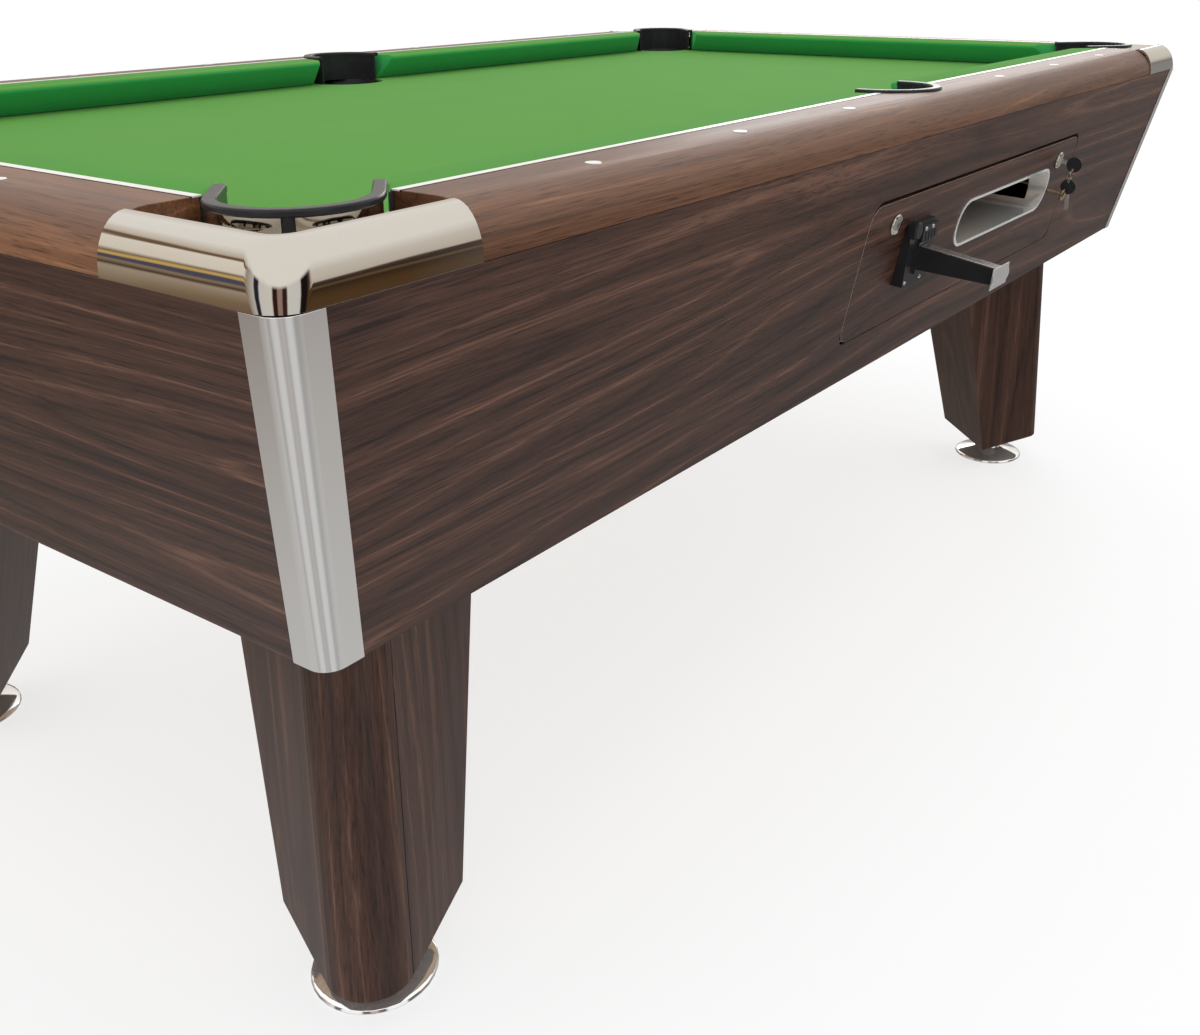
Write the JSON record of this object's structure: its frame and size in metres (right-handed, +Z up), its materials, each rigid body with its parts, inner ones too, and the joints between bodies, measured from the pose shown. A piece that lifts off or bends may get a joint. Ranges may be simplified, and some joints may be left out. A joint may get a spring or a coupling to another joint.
{
  "type": "coin-operated billiard table",
  "caption": "Billiard table with leaning walnut sides, chromed corner caps, black pocket collars, green cloth, wedge legs on round feet and a tilting door with coin slide and ball window.",
  "frame": {"origin": "on the floor, at the middle of the footprint with the coin slide out", "axes": "+X along the table's length, -Y out of the coin side, +Z up"},
  "size_m": [2.14, 1.2968, 0.8095],
  "materials": {
    "walnut laminate": "satin dark walnut laminate",
    "pine": "plain board",
    "satin aluminium": "satin",
    "chrome": "polished",
    "slate": "honed stone",
    "green cloth": "napped wool cloth",
    "cloth-covered rubber": "wool cloth over rubber",
    "black plastic": "moulded",
    "black cast metal": "black enamel",
    "steel": "plain",
    "dark brass": "dark plated"
  },
  "bodies": {
    "table": {"front_panel": "walnut laminate", "back_panel": "walnut laminate", "left_end_panel": "walnut laminate", "right_end_panel": "walnut laminate", "front_rail": "walnut laminate", "back_rail": "walnut laminate", "left_rail": "walnut laminate", "right_rail": "walnut laminate", "leg_front_left": "walnut laminate", "leg_front_right": "walnut laminate", "leg_back_left": "walnut laminate", "leg_back_right": "walnut laminate", "base_board": "pine", "front_ball_run": "pine", "front_ball_run_end": "pine", "back_ball_run": "pine", "back_ball_run_end": "pine", "cross_ball_run": "pine", "corner_trim_front_left": "satin aluminium", "corner_trim_front_right": "satin aluminium", "corner_trim_back_left": "satin aluminium", "corner_trim_back_right": "satin aluminium", "corner_cap_front_left": "chrome", "corner_cap_front_right": "chrome", "corner_cap_back_left": "chrome", "corner_cap_back_right": "chrome", "slate_bed": "slate", "bed_cloth": "green cloth", "front_cushion_left": "cloth-covered rubber", "front_cushion_right": "cloth-covered rubber", "back_cushion_left": "cloth-covered rubber", "back_cushion_right": "cloth-covered rubber", "left_cushion": "cloth-covered rubber", "right_cushion": "cloth-covered rubber", "corner_pocket_front_left": "black plastic", "corner_pocket_front_right": "black plastic", "corner_pocket_back_left": "black plastic", "corner_pocket_back_right": "black plastic", "middle_pocket_front": "black plastic", "middle_pocket_back": "black plastic", "cash_box": "steel"},
    "coin_door": {"coin_door": "walnut laminate", "coin_housing": "black cast metal", "ball_tray": "chrome", "left_lock_barrel": "chrome", "right_lock_barrel": "chrome"},
    "coin_slide": {"coin_slide": "black cast metal", "coin_strip": "steel", "push_plate": "chrome"},
    "left_lock_plug": {"left_lock_plug": "chrome"},
    "right_lock_plug": {"right_lock_plug": "chrome", "lock_key": "steel", "key_ring": "chrome"},
    "spare_key": {"spare_key": "steel"},
    "release_knob": {"release_knob": "dark brass"},
    "ball_trap": {"ball_trap": "satin aluminium"},
    "levelling_foot_front_left": {"levelling_foot_front_left": "chrome"},
    "levelling_foot_front_right": {"levelling_foot_front_right": "chrome"},
    "levelling_foot_back_left": {"levelling_foot_back_left": "chrome"},
    "levelling_foot_back_right": {"levelling_foot_back_right": "chrome"}
  },
  "joints": [
    {"name": "door_tilt", "type": "hinge", "parent": "table", "child": "coin_door", "pos_m": [0.1795, -0.50873, 0.52542], "axis": [1, 0, 0], "range_deg": [0, 77]},
    {"name": "coin_push", "type": "slide", "parent": "coin_door", "child": "coin_slide", "axis": [0, 0.9936, 0.1132], "range_m": [0, 0.09]},
    {"name": "left_lock_turn", "type": "hinge", "parent": "coin_door", "child": "left_lock_plug", "pos_m": [-0.128, -0.54093, 0.66015], "axis": [0, -0.9765, -0.2155], "range_deg": [0, 90]},
    {"name": "right_lock_turn", "type": "hinge", "parent": "coin_door", "child": "right_lock_plug", "pos_m": [0.486, -0.54093, 0.66015], "axis": [0, -0.9765, -0.2155], "range_deg": [0, 90]},
    {"name": "spare_key_swing", "type": "hinge", "parent": "right_lock_plug", "child": "spare_key", "pos_m": [0.486, -0.56065, 0.62886], "axis": [1, 0, 0], "range_deg": [-40, 20]},
    {"name": "release_pull", "type": "slide", "parent": "coin_door", "child": "release_knob", "axis": [0, -0.9765, -0.2155], "range_m": [0, 0.025]},
    {"name": "trap_drop", "type": "hinge", "parent": "table", "child": "ball_trap", "pos_m": [0.247, -0.44963, 0.6535], "axis": [0, 1, 0], "range_deg": [0, 51]},
    {"name": "foot_turn_front_left", "type": "hinge", "parent": "table", "child": "levelling_foot_front_left", "pos_m": [-0.855, -0.35063, 0], "axis": [0, 0, 1], "continuous": true},
    {"name": "foot_turn_front_right", "type": "hinge", "parent": "table", "child": "levelling_foot_front_right", "pos_m": [0.855, -0.35063, 0], "axis": [0, 0, 1], "continuous": true},
    {"name": "foot_turn_back_left", "type": "hinge", "parent": "table", "child": "levelling_foot_back_left", "pos_m": [-0.855, 0.43337, 0], "axis": [0, 0, 1], "continuous": true},
    {"name": "foot_turn_back_right", "type": "hinge", "parent": "table", "child": "levelling_foot_back_right", "pos_m": [0.855, 0.43337, 0], "axis": [0, 0, 1], "continuous": true}
  ],
  "couplings": [
    {"joint": "trap_drop", "follows": "coin_push", "rad_per_m": 9.8}
  ]
}
